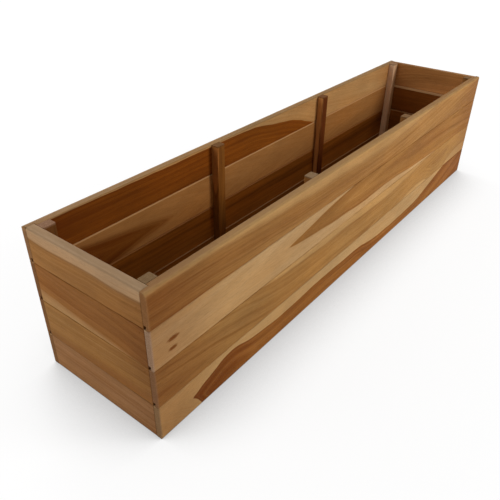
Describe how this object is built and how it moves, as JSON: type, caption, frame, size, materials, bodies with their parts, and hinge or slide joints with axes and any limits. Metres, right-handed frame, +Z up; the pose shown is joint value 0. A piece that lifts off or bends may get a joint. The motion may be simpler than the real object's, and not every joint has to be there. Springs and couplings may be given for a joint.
{
  "type": "window box planter",
  "caption": "Long, narrow open-topped wooden window box planter of tongue-and-groove boards with inner corner posts and wall battens, for growing plants on a sill or terrace.",
  "frame": {"origin": "middle of the box's underside, the face that it stands on", "axes": "+X along the box's length from its left end to its right, +Y from the front wall to the back wall, +Z up"},
  "size_m": [1, 0.215, 0.225],
  "materials": {
    "long_boards": "oiled hardwood, satin",
    "end_boards": "oiled hardwood, satin",
    "posts_and_battens": "oiled hardwood, satin",
    "floor_bearers": "sawn hardwood, oiled",
    "floor_boards": "oiled hardwood, satin",
    "brad_steel": "stainless steel wire, dulled"
  },
  "bodies": {
    "root": {"front_board_bottom": "long_boards", "front_board_lower": "long_boards", "front_board_upper": "long_boards", "front_board_top": "long_boards", "back_board_bottom": "long_boards", "back_board_lower": "long_boards", "back_board_upper": "long_boards", "back_board_top": "long_boards", "left_end_board_bottom": "end_boards", "left_end_board_lower": "end_boards", "left_end_board_upper": "end_boards", "left_end_board_top": "end_boards", "right_end_board_bottom": "end_boards", "right_end_board_lower": "end_boards", "right_end_board_upper": "end_boards", "right_end_board_top": "end_boards", "front_left_post": "posts_and_battens", "front_left_batten": "posts_and_battens", "front_right_batten": "posts_and_battens", "front_right_post": "posts_and_battens", "back_left_post": "posts_and_battens", "back_left_batten": "posts_and_battens", "back_right_batten": "posts_and_battens", "back_right_post": "posts_and_battens", "floor_bearer_left_end": "floor_bearers", "floor_bearer_left_middle": "floor_bearers", "floor_bearer_right_middle": "floor_bearers", "floor_bearer_right_end": "floor_bearers", "floor_board_front": "floor_boards", "floor_board_middle": "floor_boards", "floor_board_back": "floor_boards", "wall_brads": "brad_steel", "floor_brads": "brad_steel", "bearer_brads": "brad_steel", "end_board_brads": "brad_steel"}
  },
  "joints": []
}
